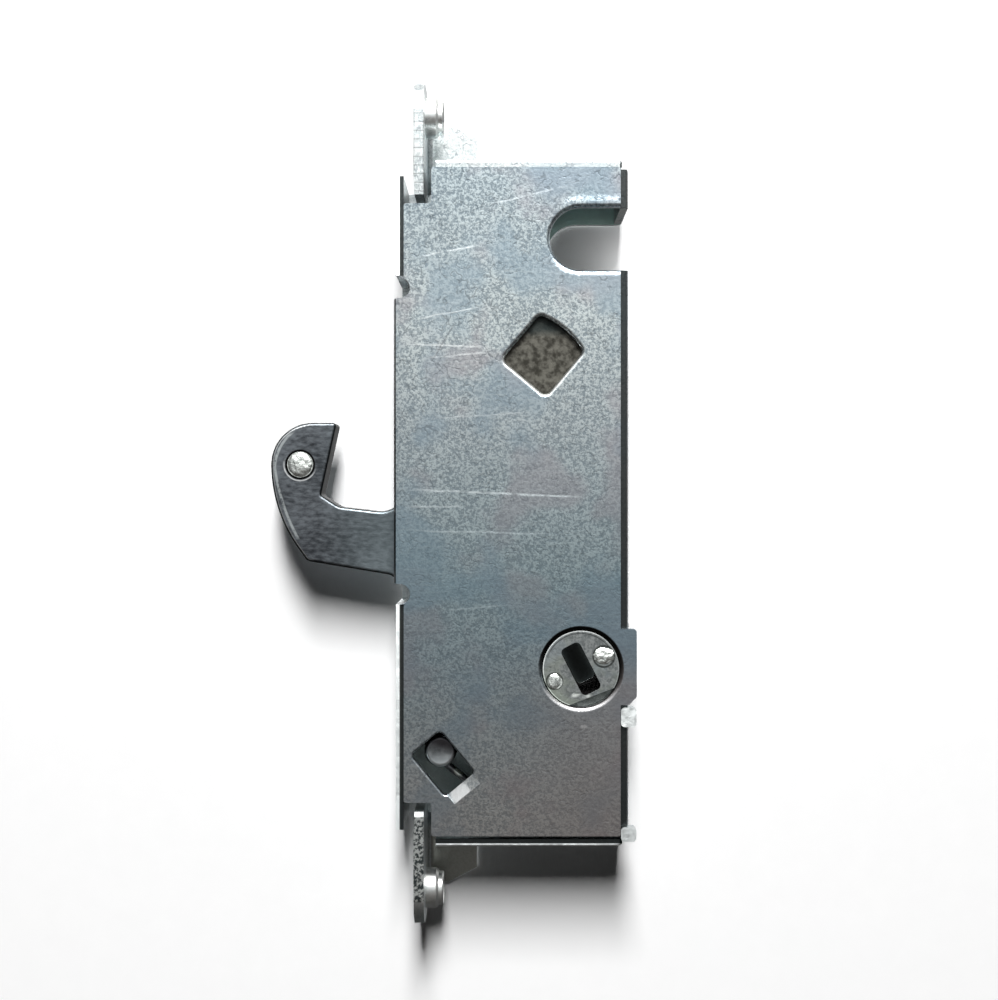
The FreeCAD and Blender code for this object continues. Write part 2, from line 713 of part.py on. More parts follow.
def make_hook_plate(label, layer):
    body = new_body(label)
    offset = f"{layer - 0.5} * sizes.plate_thickness"
    plate = sketch_on(body, label + "_outline", "XZ_Plane", offset)
    plate.addGeometry(rounded(hook_outline()), False)
    pad_up(body, plate, "sizes.plate_thickness")
    for word, (x, z, radius) in hook_holes.items():
        hole = sketch_on(body, f"{label}_{word}_hole", "XZ_Plane", "0 mm")
        add_circle(hole, x, z, radius)
        cut_through(body, hole)
    if layer:
        recess = sketch_on(body, label + "_recess", "XZ_Plane", f"{layer} * 1.5 * sizes.plate_thickness")
        add_circle(recess, "sizes.tip_rivet_x", "sizes.tip_rivet_level", "sizes.tip_recess_radius")
        cut = body.newObject("PartDesign::Pocket", label + "_recess_cut")
        cut.Profile = recess
        cut.Reversed = layer < 0
        cut.setExpression("Length", "sizes.tip_recess_depth")
        settled(cut)
        outside = -layer * hook_half
        round_edges(body, label + "_roll", "sizes.hook_roll",
                    lambda edge: in_plane(edge, outside) and not edge.Closed)


def make_pins(label, spots, radius, half_length):
    """Straight pins along Y, one solid at each place."""
    pins = []
    for x, z in spots:
        pin = doc.addObject("Part::Cylinder", f"{label}_{len(pins) + 1}")
        pin.setExpression("Radius", radius)
        pin.setExpression("Height", f"2 * ({half_length})")
        pin.Placement = Placement(Vector(), Rotation(Vector(1, 0, 0), 90))
        pin.setExpression("Placement.Base.x", x)
        pin.setExpression("Placement.Base.y", half_length)
        pin.setExpression("Placement.Base.z", z)
        pins.append(pin)
    if len(pins) == 1:
        pins[0].Label = label
        return pins[0]
    group = doc.addObject("Part::Compound", label)
    group.Links = pins
    group.Label = label
    return group


def make_post(label, x, z, radius, flange, flange_start, end, head=None):
    """A post riveted in the tray, its tail flush behind; flange and head are wider stretches."""
    tail = radius * size.tail_share
    back = rear_face + size.tail_height
    edge = size.turned_edge
    profile = [(back, 0, 0), (back, tail, -edge / 2), (inner_rear, tail, 0), (inner_rear, flange, 0),
               (flange_start, flange, -edge), (flange_start, radius, 0)]
    if head:
        head_radius, head_height, head_round = head
        profile += [(end + head_height, radius, 0), (end + head_height, head_radius, -edge),
                    (end, head_radius, head_round), (end, 0, 0)]
    else:
        profile += [(end, radius, -edge), (end, 0, 0)]
    make_turned(label, "YZ_Plane", profile, {"x": x, "z": z})


def fork_at(share):
    """Where the fork would lie at rest, in degrees, to meet the pin at this share of the stroke."""
    pin = around(pivot, size.drive_pin_arm, size.hook_swing * share - 90)
    return math.degrees(math.atan2(pin.z - hub.z, pin.x - hub.x)) + size.hub_swing * share


fork_places = [fork_at(step / 40) for step in range(41)]
fork_turn = (min(fork_places) + max(fork_places)) / 2
fork_lag = math.radians(max(fork_places) - min(fork_places)) / 2
fork_play = fork_lag * (size.fork_end - size.drive_pin_radius) + size.fork_clearance
fork_slot_half = size.drive_pin_radius + fork_play


def hub_slot():
    return turned_box(size.hub_centre, size.hub_level, size.slot_length, size.slot_width,
                      90 + size.slot_turn, size.slot_corner)


def cut_hub_holes(body, label):
    slot = sketch_on(body, label + "_slot", "XZ_Plane", "0 mm")
    slot.addGeometry(rounded(hub_slot()), False)
    cut_through(body, slot)
    for word, sign in (("upper", "+"), ("lower", "-")):
        hole = sketch_on(body, f"{label}_{word}_rivet_hole", "XZ_Plane", "0 mm")
        add_circle(hole, f"sizes.hub_centre {sign} sizes.hub_rivet_offset * cos(sizes.slot_turn * 1 deg)",
                   f"sizes.hub_level {sign} sizes.hub_rivet_offset * sin(sizes.slot_turn * 1 deg)",
                   "sizes.hub_rivet_radius")
        cut_through(body, hole)


cam_outside = "(sizes.case_thickness / 2 - sizes.sheet_thickness - sizes.cam_side_gap)"


def make_journal(label, side):
    body = new_body(label)
    face = "(sizes.case_thickness / 2 - sizes.hub_recess)"
    offset = cam_outside if side < 0 else "-" + face
    disc = sketch_on(body, label + "_disc", "XZ_Plane", offset)
    half_flat = math.degrees(math.acos(size.hub_flat / size.hub_radius))
    start = around(hub, size.hub_radius, size.hub_flat_turn + half_flat)
    middle = around(hub, size.hub_radius, size.hub_flat_turn + 180)
    stop = around(hub, size.hub_radius, size.hub_flat_turn - half_flat)
    flat = [Vector(p.x, p.z, 0) for p in (start, middle, stop)]
    disc.addGeometry([Part.Arc(*flat), Part.LineSegment(flat[2], flat[0])], False)
    pad_up(body, disc, f"{face} - {cam_outside}")
    cut_hub_holes(body, label)


def make_cam(label, side):
    body = new_body(label)
    offset = "sizes.core_half" if side < 0 else "-" + cam_outside
    thickness = f"{cam_outside} - sizes.core_half"
    disc = sketch_on(body, label + "_disc", "XZ_Plane", offset)
    add_circle(disc, "sizes.hub_centre", "sizes.hub_level", "sizes.hub_disc_radius")
    pad_up(body, disc, thickness)
    slot_half = fork_slot_half
    half = slot_half + size.prong_width
    root = size.fork_root - size.fork_wall
    narrow = root - size.arm_taper_length
    bend = size.arm_half_width
    arm = sketch_on(body, label + "_arm", "XZ_Plane", offset)
    arm.addGeometry(rounded(turned(
        [(0, -size.arm_root_half_width, 0), (narrow, -size.arm_half_width, bend), (root, -half, bend),
         (size.fork_end, -half, size.prong_corner), (size.fork_end, half, size.prong_corner),
         (root, half, bend), (narrow, size.arm_half_width, bend),
         (0, size.arm_root_half_width, 0)], hub.x, hub.z, fork_turn)), False)
    pad_up(body, arm, thickness)
    lobe = sketch_on(body, label + "_lobe", "XZ_Plane", offset)
    reach = size.spring_pin_arm + size.lobe_radius
    lobe_round = size.lobe_radius * nearly
    lobe.addGeometry(rounded(turned(
        [(0, -size.lobe_root_half_width, 0), (reach, -size.lobe_radius, lobe_round),
         (reach, size.lobe_radius, lobe_round), (0, size.lobe_root_half_width, 0)],
        hub.x, hub.z, size.spring_pin_turn)), False)
    pad_up(body, lobe, thickness)
    fork = sketch_on(body, label + "_fork", "XZ_Plane", "0 mm")
    slot_round = slot_half * nearly
    open_end = size.fork_end + overshoot
    fork.addGeometry(rounded(turned(
        [(size.fork_root, -slot_half, slot_round), (open_end, -slot_half, 0),
         (open_end, slot_half, 0), (size.fork_root, slot_half, slot_round)], hub.x, hub.z, fork_turn)), False)
    cut_through(body, fork)
    cut_hub_holes(body, label)
    pin = sketch_on(body, label + "_pin_hole", "XZ_Plane", "0 mm")
    add_circle(pin, spring_pin_x, spring_pin_z, "sizes.spring_pin_radius")
    cut_through(body, pin)


spring_pin_x = "sizes.hub_centre + sizes.spring_pin_arm * cos(sizes.spring_pin_turn * 1 deg)"
spring_pin_z = "sizes.hub_level + sizes.spring_pin_arm * sin(sizes.spring_pin_turn * 1 deg)"


def make_core():
    body = new_body("hub_core")
    disc = sketch_on(body, "core_disc", "XZ_Plane", "-sizes.core_half")
    add_circle(disc, "sizes.hub_centre", "sizes.hub_level", "sizes.hub_disc_radius")
    pad_up(body, disc, "2 * sizes.core_half")
    cut_hub_holes(body, "core")


def arc_from(start, heading, stop):
    """The arc that leaves start along heading and ends at stop."""
    chord = stop - start
    unit = Vector(chord).normalize()
    aside = heading - unit * heading.dot(unit)
    if aside.Length < 1e-9:
        return Part.LineSegment(start, stop)
    sag = chord.Length / 2 * math.tan(heading.getAngle(unit) / 2)
    return Part.Arc(start, start + chord / 2 + aside.normalize() * sag, stop)


def biarc(start, heading, stop, arriving):
    """Two arcs that join tangentially and keep the heading at both ends."""
    gap = stop - start
    both = heading + arriving
    spread = 2 * (1 - heading.dot(arriving))
    reach = (-gap.dot(both) + math.sqrt(gap.dot(both) ** 2 + spread * gap.dot(gap))) / spread
    joint = (start + stop + (heading - arriving) * reach) / 2
    second = arc_from(stop, arriving * -1, joint)
    halfway = second.value((second.FirstParameter + second.LastParameter) / 2)
    return [arc_from(start, heading, joint), Part.Arc(joint, halfway, stop)]


def heading_between(first, first_radius, second, second_radius):
    """Degrees of the line that leaves the first circle and meets the second, both going anticlockwise."""
    between = second - first
    slip = second_radius - first_radius
    run = math.sqrt(between.Length ** 2 - slip ** 2)
    return math.degrees(math.atan2(between.z, between.x) - math.atan2(slip, run))


coil = spot(size.coil_centre, size.coil_level)
spring_post = spot(size.spring_post_x, size.spring_post_level)
spring_pin = around(hub, size.spring_pin_arm, size.spring_pin_turn)
post_eye = size.spring_post_radius + size.eye_gap + size.wire_diameter / 2
pin_eye = size.spring_pin_radius + size.eye_gap + size.wire_diameter / 2
to_coil = heading_between(spring_post, post_eye, coil, size.coil_radius)
to_pin = heading_between(coil, size.coil_radius, spring_pin, pin_eye)
wound = (to_pin - to_coil) % 360 + 360 * size.coil_whole_turns
climb = size.coil_pitch * wound / 360
spring_half = climb / 2 + size.wire_diameter / 2


def make_toggle_spring():
    """A hairpin of round wire: an eye on the post, a coil, an eye on the cam's pin."""
    level = climb / 2

    def ring_point(centre, radius, degrees, y):
        return around(centre, radius, degrees) + Vector(0, y, 0)

    edges = []
    steps = 3
    eye_step = size.eye_turn / steps
    for i in range(steps):
        turns = [to_coil - 90 - size.eye_turn + (i + k / 2) * eye_step for k in range(3)]
        edges.append(Part.Arc(*[ring_point(spring_post, post_eye, turn, level) for turn in turns]))
    leaving = ring_point(spring_post, post_eye, to_coil - 90, level)
    arriving = ring_point(coil, size.coil_radius, to_coil - 90, level)
    edges.append(Part.LineSegment(leaving, arriving))
    quarters = round(wound / 90)
    step = wound / quarters
    rise = -climb / quarters

    def heading_at(degrees, slope):
        turn = math.radians(degrees + 90)
        flat = Vector(math.cos(turn), 0, math.sin(turn)) * (size.coil_radius * math.radians(step))
        return (flat + Vector(0, slope, 0)).normalize()

    for i in range(quarters):
        start_turn = to_coil - 90 + i * step
        slopes = [0 if i == 0 else rise, 0 if i == quarters - 1 else rise]
        start = ring_point(coil, size.coil_radius, start_turn, level + rise * i)
        stop = ring_point(coil, size.coil_radius, start_turn + step, level + rise * (i + 1))
        edges += biarc(start, heading_at(start_turn, slopes[0]),
                       stop, heading_at(start_turn + step, slopes[1]))
    leaving = ring_point(coil, size.coil_radius, to_pin - 90, -level)
    arriving = ring_point(spring_pin, pin_eye, to_pin - 90, -level)
    edges.append(Part.LineSegment(leaving, arriving))
    for i in range(steps):
        turns = [to_pin - 90 + (i + k / 2) * eye_step for k in range(3)]
        edges.append(Part.Arc(*[ring_point(spring_pin, pin_eye, turn, -level) for turn in turns]))

    path = Part.Wire([edge.toShape() for edge in edges])
    begin = edges[0].value(edges[0].FirstParameter)
    way = edges[0].tangent(edges[0].FirstParameter)[0]
    section = Part.Wire(Part.Circle(begin, way, size.wire_diameter / 2).toShape())
    tube = path.makePipeShell([section], True, False)
    expected = math.pi * size.wire_diameter ** 2 / 4 * path.Length
    points = path.discretize(Distance=size.wire_diameter / 3)
    spacing = path.Length / (len(points) - 1)
    apart = int(3 * size.wire_diameter / spacing)
    least = min((first - second).Length for i, first in enumerate(points) for second in points[i + apart:])
    print("toggle spring gap to itself", round(least - size.wire_diameter, 3),
          "volume share", round(tube.Volume / expected, 4))
    spring = doc.addObject("Part::Feature", "toggle_spring")
    spring.Label = "toggle_spring"
    spring.Shape = tube


make_case_tray()
make_case_cover()
make_clinch_nut("upper_clinch_nut", "sizes.screw_level")
make_clinch_nut("lower_clinch_nut", "-sizes.screw_level")
make_hook_plate("hook_plate_front", 1)
make_hook_plate("hook_plate_middle", 0)
make_hook_plate("hook_plate_rear", -1)
make_pins("hook_tip_rivet", [hook_holes["tip"][:2]], "sizes.tip_rivet_radius",
          "1.5 * sizes.plate_thickness - sizes.fit_gap")
make_pins("hook_body_rivets", [hook_holes["upper"][:2], hook_holes["lower"][:2]],
          "sizes.body_rivet_radius", "1.5 * sizes.plate_thickness")
make_pins("hook_drive_pin", [hook_holes["pin"][:2]], "sizes.drive_pin_radius",
          cam_outside + " - sizes.cam_side_gap")
bush_bore = size.post_radius + size.running_gap
make_turned("hook_bush", "YZ_Plane", [(-hook_half, bush_bore, 0), (-hook_half, size.bush_radius, 0),
                                      (hook_half, size.bush_radius, 0), (hook_half, bush_bore, 0)],
            {"x": "sizes.pivot_centre", "z": "sizes.pivot_level"})
make_post("hook_pivot_post", "sizes.pivot_centre", "sizes.pivot_level", size.post_radius,
          size.post_flange_radius, hook_half + size.fit_gap, inner_front + size.fit_gap)
washer_near = inner_front + 2 * size.fit_gap
washer_far = -hook_half - size.fit_gap
washer_edge = size.turned_edge / 2
make_turned("hook_washer", "YZ_Plane",
            [(washer_near, bush_bore, 0), (washer_near, size.post_flange_radius, -washer_edge),
             (washer_far, size.post_flange_radius, -washer_edge), (washer_far, bush_bore, 0)],
            {"x": "sizes.pivot_centre", "z": "sizes.pivot_level"})
for word, side in (("front", -1), ("rear", 1)):
    make_journal(f"hub_{word}_journal", side)
    make_cam(f"hub_{word}_cam", side)
make_core()
rivet_x = "sizes.hub_rivet_offset * cos(sizes.slot_turn * 1 deg)"
rivet_z = "sizes.hub_rivet_offset * sin(sizes.slot_turn * 1 deg)"
rivet_spots = [(f"sizes.hub_centre {sign} {rivet_x}", f"sizes.hub_level {sign} {rivet_z}") for sign in "+-"]
make_pins("hub_rivets", rivet_spots, "sizes.hub_rivet_radius", "sizes.case_thickness / 2 - sizes.hub_recess")
make_pins("hub_spring_pin", [(spring_pin_x, spring_pin_z)], "sizes.spring_pin_radius", cam_outside)
make_post("spring_post", "sizes.spring_post_x", "sizes.spring_post_level", size.spring_post_radius,
          size.spring_post_flange, spring_half + size.eye_gap, size.spring_post_end,
          (size.spring_post_head, size.spring_post_head_height, size.spring_post_head_round))
make_toggle_spring()
doc.recompute()
print("fork", round(fork_turn, 2), "degrees, half width", round(fork_slot_half, 3))

nodes = {o.Label: o for o in doc.Objects if o.TypeId == "PartDesign::Body" or o.TypeId == "Part::Compound"
         or (o.isDerivedFrom("Part::Feature") and not o.InList and not o.TypeId.startswith("PartDesign"))}
for item in doc.Objects:
    if "Invalid" in item.State or "Error" in item.State:
        raise ValueError("failed: " + item.Name)
os.makedirs("parts", exist_ok=True)
for label, item in sorted(nodes.items()):
    if item.Shape.isNull() or not item.Shape.isValid():
        raise ValueError("no valid shape: " + label)
    print(label, len(item.Shape.Solids), round(item.Shape.Volume, 2), item.Shape.BoundBox)
for label, item in nodes.items():
    item.Shape.exportStep(f"parts/{label}.step")
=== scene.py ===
import json
import math
import bmesh
import bpy
from mathutils import Matrix, Vector, noise


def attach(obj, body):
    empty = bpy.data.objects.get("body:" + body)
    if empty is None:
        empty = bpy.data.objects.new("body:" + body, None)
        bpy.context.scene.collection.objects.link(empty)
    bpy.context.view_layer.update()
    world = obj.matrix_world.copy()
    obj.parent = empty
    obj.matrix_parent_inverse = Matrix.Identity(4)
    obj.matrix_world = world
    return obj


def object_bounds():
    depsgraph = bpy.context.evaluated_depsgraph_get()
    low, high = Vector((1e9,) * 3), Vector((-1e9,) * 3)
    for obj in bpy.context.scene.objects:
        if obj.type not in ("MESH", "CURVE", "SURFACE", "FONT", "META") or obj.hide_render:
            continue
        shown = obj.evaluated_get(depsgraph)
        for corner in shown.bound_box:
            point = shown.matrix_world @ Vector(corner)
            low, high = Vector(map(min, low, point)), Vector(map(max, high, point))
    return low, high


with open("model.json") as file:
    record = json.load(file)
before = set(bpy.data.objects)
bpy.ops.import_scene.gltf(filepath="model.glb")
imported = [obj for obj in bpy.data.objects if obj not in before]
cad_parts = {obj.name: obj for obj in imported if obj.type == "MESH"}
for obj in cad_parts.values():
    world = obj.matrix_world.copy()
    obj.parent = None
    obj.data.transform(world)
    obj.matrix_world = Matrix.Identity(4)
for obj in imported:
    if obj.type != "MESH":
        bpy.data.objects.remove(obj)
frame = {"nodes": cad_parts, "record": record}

# A sliding door mortise lock that lies on white paper, lit from above the page.
# Metres: +Z is up the page, -X is where the hook points, -Y is towards the camera.
mm = 0.001
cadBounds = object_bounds()
nodes = frame["nodes"]

# what the marks go round, as x and z in millimetres
hubCentre = (19.73, -19.55)
diamondCentre = (15.37, 17.54)
notchCentre = (19.75, 31.16)
windowCentre = (3.47, -30.75)
postCentre = (3.1, -29.5)
tipRivetCentre = (-13.84, 4.62)
halfPlate = 41


class Sock:
    # a node's output, on which a sum adds its Math node
    def __init__(self, tree, socket):
        self.tree = tree
        self.socket = socket

    def math(self, operation, *others):
        return self.tree.node("Math", {"operation": operation}, dict(enumerate((self, *others))))

    def __add__(self, other):
        return self.math("ADD", other)

    def __sub__(self, other):
        return self.math("SUBTRACT", other)

    def __rsub__(self, other):
        return (self * -1).math("ADD", other)

    def __mul__(self, other):
        return self.math("MULTIPLY", other)

    __radd__ = __add__
    __rmul__ = __mul__

    def size(self):
        return self.math("ABSOLUTE")

    def ease(self, low, high):
        # 0 below low, 1 above high and a smooth step between them
        settings = {"interpolation_type": "SMOOTHSTEP"}
        return self.tree.node("MapRange", settings, {"Value": self, "From Min": low, "From Max": high})

    def between(self, low, high, soft):
        # 1 from low to high, with both ends eased
        return self.ease(low - soft, low + soft) * (1 - self.ease(high - soft, high + soft))


class Tree:
    # a node tree in which each value can be a number or another node's output
    def __init__(self, tree):
        self.tree = tree

    def link(self, value, slot):
        if isinstance(value, Sock):
            self.tree.links.new(value.socket, slot)
            return
        if isinstance(value, tuple) and len(slot.default_value) == 4:
            value = (*value, 1)
        slot.default_value = value

    def node(self, kind, settings=None, inputs=None, output=0):
        made = self.tree.nodes.new("ShaderNode" + kind)
        for key, value in (settings or {}).items():
            setattr(made, key, value)
        for key, value in (inputs or {}).items():
            self.link(value, made.inputs[key])
        return Sock(self, made.outputs[output])

    def parts(self, vector):
        # the X, Y and Z of a vector
        split = self.node("SeparateXYZ", None, {0: vector}).socket.node
        return [Sock(self, output) for output in split.outputs]

    def mix(self, first, second, share):
        return self.node("Mix", {"data_type": "RGBA"}, {0: share, 6: first, 7: second}, output=2)

    def paint(self, under, tone, mask):
        colour, share = tone
        return self.mix(under, colour, mask * share)

    def ramp(self, value, stops):
        made = self.node("ValToRGB", None, {0: value})
        elements = made.socket.node.color_ramp.elements
        for at, colour in stops[2:]:
            elements.new(at)
        for element, (at, colour) in zip(elements, stops):
            element.position = at
            element.color = (*colour, 1)
        return made


class Surface(Tree):
    # one material, whose varying values come from the surface's place in millimetres

    # how far a normal is pulled along Y where the surface is shaded as if it faced the front
    pull = -9

    def __init__(self, name, **fixed):
        self.material = bpy.data.materials.new(name)
        self.material.use_nodes = True
        super().__init__(self.material.node_tree)
        self.shader = self.tree.nodes["Principled BSDF"]
        for label, value in fixed.items():
            self.shader.inputs[label.replace("_", " ")].default_value = value
        place = self.node("TexCoord", output="Object")
        self.place = self.node("VectorMath", {"operation": "SCALE"}, {"Vector": place, "Scale": 1 / mm})
        self.x, self.y, self.z = self.parts(self.place)
        # how much of the pull there is: the marks set it on walls that the eye only grazes
        self.front = 0.0

    def set(self, label, value):
        self.link(value, self.shader.inputs[label])

    def noise(self, feature, detail=3.0, roughness=0.55, stretch=(1, 1, 1), turn=0.0, shift=(0, 0, 0)):
        # feature is the size of its blotches in millimetres
        at = self.node("Mapping", None, {"Vector": self.place, "Rotation": (0, math.radians(turn), 0),
                                         "Scale": stretch, "Location": shift})
        return self.node("TexNoise", None, {"Vector": at, "Scale": 1 / feature, "Detail": detail,
                                            "Roughness": roughness})

    def away(self, centre):
        # distance from the line along Y through the centre
        right = self.x - centre[0]
        up = self.z - centre[1]
        return (right * right + up * up).math("SQRT")

    def bump(self, height, depth, lean):
        # depth is in millimetres for a height of 1, and lean is how far the surface leans up
        normal = self.node("NewGeometry", output="Normal")
        lift = self.node("CombineXYZ", None, {1: self.front * self.pull, 2: lean})
        leant = self.node("VectorMath", {"operation": "ADD"}, {0: normal, 1: lift})
        leant = self.node("VectorMath", {"operation": "NORMALIZE"}, {0: leant})
        bumped = self.node("Bump", None, {"Height": height, "Distance": depth * mm, "Normal": leant})
        self.set("Normal", bumped)


# the cover's zinc: colours, sizes of its blotches in millimetres, and how much of each colour there is
coverZinc = {
    "pale": (0.90, 0.98, 1.0),
    "dull": (0.44, 0.51, 0.56),
    "warm": (0.62, 0.58, 0.62),
    "blue": (0.50, 0.63, 0.73),
    "worm": (0.20, 0.23, 0.26),
    "stainSize": 8.0,
    "mottleSize": 0.34,
    "wormSize": 0.9,
    "brushSize": 0.30,
    "warmShare": 0.6,
    "blueShare": 0.6,
    "brushShare": 0.35,
    "roughness": 0.30,
    "relief": 0.016,
}

# ends of the scratches on the cover, in millimetres, with their half width and how bright they are;
# one below 0 is dark
scratches = [
    ((0.4, 28.9), (8.3, 30.5), 0.10, 0.60), ((0.1, 21.6), (8.0, 23.1), 0.09, 0.50),
    ((-1.2, 18.7), (9.4, 18.3), 0.10, 0.60), ((1.0, 17.0), (9.4, 17.8), 0.09, 0.45),
    ((-1.2, 1.6), (21.6, 0.6), 0.12, 0.85), ((-1.2, -0.4), (6.9, -0.4), 0.11, 0.60),
    ((-1.2, -3.2), (17.8, -3.7), 0.10, 0.50), ((2.6, -12.8), (11.9, -11.9), 0.10, 0.45),
    ((8.3, 35.0), (19.2, 37.6), 0.10, 0.50), ((1.4, 9.9), (14.3, 10.7), 0.09, 0.35),
    ((2.1, 16.5), (5.3, 21.8), 0.09, -0.5), ((19.6, -26.3), (20.5, -26.3), 0.16, 0.80),
]
scratchTones = {"bright": (0.92, 0.96, 0.98), "dark": (0.16, 0.17, 0.18), "roughness": 0.18}

# the plate's tone from its lower end to its upper end: a tint, with painted light that makes its upper part
# brightest
tintAndPaintedLight = [(0.04, (0.78, 0.71, 0.67)), (0.28, (0.58, 0.64, 0.66)), (0.38, (0.62, 0.70, 0.71)),
          (0.61, (0.85, 0.85, 0.84)), (0.76, (0.96, 0.95, 0.92)), (0.96, (0.72, 0.75, 0.76))]


def scratchMask(surface, start, end, halfWidth):
    # how much of a thin line from start to end lies at each place
    run = Vector(end) - Vector(start)
    way = run.normalized()
    right = surface.x - start[0]
    up = surface.z - start[1]
    along = right * way.x + up * way.y
    wander = surface.noise(4.0, 2.0) * 0.4 - 0.2
    across = (right * way.y - up * way.x + wander).size()
    ends = along.ease(0, run.length * 0.2) * (1 - along.ease(run.length * 0.75, run.length))
    breaks = surface.noise(1.6, 3.0).ease(0.30, 0.50)
    return (1 - across.ease(halfWidth * 0.4, halfWidth * 1.6)) * ends * breaks


def zincPlate(name, look, marks, lines=()):
    # zinc on sheet steel: a fine mottle with dark worms in it, wide stains and drawn-out brush marks
    surface = Surface(name, Metallic=1.0)
    upper = surface.z.ease(-30, 32)
    mottle = surface.noise(look["mottleSize"], 4.0, 0.60)
    fine = surface.noise(look["mottleSize"] * 0.6, 2.0, 0.6, shift=(9, 4, 7))
    curls = surface.noise(look["wormSize"], 1.0, 0.4, shift=(7, 3, 5))
    broken = surface.noise(look["wormSize"] * 1.6, 2.0, 0.5, shift=(1, 8, 6)).ease(0.46, 0.58)
    worms = (1 - (curls - 0.5).size().ease(0.0, 0.06)) * broken
    stain = surface.noise(look["stainSize"], 3.0, 0.5, shift=(2, 9, 4))
    tint = surface.noise(look["stainSize"] * 1.2, 2.0, 0.5, shift=(31, 2, 8))
    brush = surface.noise(look["brushSize"], 3.0, 0.6, stretch=(0.05, 1, 1), turn=3)

    middle = tuple((low + high) / 2 for low, high in zip(look["dull"], look["pale"]))
    colour = surface.mix(look["dull"], look["pale"], (mottle * 0.6 + fine * 0.4).ease(0.44, 0.56))
    colour = surface.mix(middle, colour, upper * 0.35 + 0.65)
    colour = surface.mix(colour, look["warm"], stain.ease(0.48, 0.64) * look["warmShare"])
    colour = surface.mix(colour, look["blue"], tint.ease(0.48, 0.62) * look["blueShare"])
    colour = surface.mix(colour, look["worm"], worms * (upper * 0.45 + 0.12))
    colour = surface.mix(colour, look["pale"], brush.ease(0.56, 0.70) * look["brushShare"])
    rough = look["roughness"] + (stain - 0.5) * 0.12 + (mottle - 0.5) * 0.10
    for start, end, halfWidth, bright in lines:
        mask = scratchMask(surface, start, end, halfWidth) * abs(bright)
        colour = surface.mix(colour, scratchTones["bright" if bright > 0 else "dark"], mask)
        rough = rough + mask * scratchTones["roughness"]

    colour, rough, lean = marks(surface, colour, rough)
    surface.set("Base Color", colour)
    surface.set("Roughness", rough)
    surface.bump(mottle * 1.2 - worms * 0.3, look["relief"], lean)
    return surface.material


def steel(name, look, marks):
    # bare or dull plated steel, with grain that can be drawn out along one way
    surface = Surface(name, Metallic=1.0)
    grain = surface.noise(look["grainSize"], 5.0, 0.6, stretch=look["stretch"])
    patch = surface.noise(look["grainSize"] * 9, 2.0, 0.5, shift=(5, 1, 7))
    colour = surface.mix(look["dark"], look["pale"], (grain * 0.7 + patch * 0.4).ease(0.36, 0.72))
    rough = look["roughness"] + (grain - 0.5) * 0.3 + (patch - 0.5) * 0.2
    colour, rough, lean = marks(surface, colour, rough)
    surface.set("Base Color", colour)
    surface.set("Roughness", rough)
    surface.bump(grain, look["relief"], lean)
    return surface.material


def plain(surface, colour, rough):
    return colour, rough, 0.0


# what is painted on each finish: zincPlate and steel are given plain or a function that ends in Marks,
# which takes the colour and the roughness so far and gives them back with how far the surface leans up;
# a tone is a colour and how much of it covers what is under it
black = ((0.012, 0.012, 0.012), 1.0)

floorTones = [(0.045, 0.043, 0.036), (0.15, 0.145, 0.125)]
coverTones = {
    "floorTopShadow": ((0.035, 0.045, 0.045), 0.8),
    "rimShade": ((0.015, 0.015, 0.015), 1.0),
    "rimHighlight": ((0.95, 0.97, 0.98), 1.0),
    "roll": ((0.96, 0.98, 0.98), 1.0),
    "brown": ((0.50, 0.44, 0.43), 0.45),
    "lip": ((0.90, 0.92, 0.92), 1.0),
    "line": ((0.02, 0.02, 0.02), 0.9),
}
coverLean = {"lip": 0.28, "pushed": 0.22, "roll": 0.15}
floorRoughness = 0.28
windowLip = (5.5, -34.3)


def paintDiamond(surface, colour):
    # the pushed-in floor is dull and brown and grained by the punch, with a painted shadow along its top
    near = 1 - surface.away(diamondCentre).ease(5.4, 5.6)
    deep = surface.y.ease(-5.72, -5.40) * near
    dirt = surface.noise(0.9, 4.0, 0.6, shift=(4, 4, 1)).ease(0.35, 0.65)
    floor = surface.paint(surface.mix(*floorTones, dirt), coverTones["floorTopShadow"], surface.z.ease(19.4, 20.6))
    colour = surface.mix(colour, floor, deep)
    # a painted highlight makes the lower half of its rolled rim bright
    roll = surface.y.between(-5.97, -5.72, 0.02) * near * (1 - surface.z.ease(16.5, 18.5))
    return surface.paint(colour, coverTones["roll"], roll), deep, roll


def paintHubHole(surface, colour):
    # painted shade makes the rolled rim black above, and a painted highlight makes it bright below
    rim = surface.away(hubCentre).between(4.4, 5.05, 0.08)
    above = (surface.z + surface.x * 0.35).ease(-16.5, -12.0)
    colour = surface.paint(colour, coverTones["rimShade"], rim * above)
    below = rim * (1 - above) * (1 - surface.z.ease(-22.5, -21.5))
    colour = surface.paint(colour, coverTones["rimHighlight"], below)
    # the plate is browner on this side, towards its lower end
    brown = surface.x.ease(8, 22) * (1 - surface.z.ease(-24, -16))
    return surface.paint(colour, coverTones["brown"], brown)


def pushedMetal(surface):
    # how far punching has pushed up the metal, above the notch and below it
    left = (surface.x - notchCentre[0]).math("MINIMUM", 0.0)
    rise = surface.z - notchCentre[1]
    reach = (left * left + rise * rise).math("SQRT")
    torn = surface.noise(1.2, 3.0, 0.6, shift=(8, 2, 3)).ease(0.36, 0.50)
    above = reach.between(4.40, 5.10, 0.25) * rise.ease(1, 3) * surface.x.ease(17, 18.6) * torn
    ragged = reach + surface.noise(0.9, 3.0, 0.6, shift=(2, 6, 1)) * 0.9 - 0.45
    below = ragged.between(3.55, 4.35, 0.15) * (1 - rise.ease(-3.4, -1.8)) * surface.x.ease(15.4, 17)
    return above * 0.4 + below * 0.7


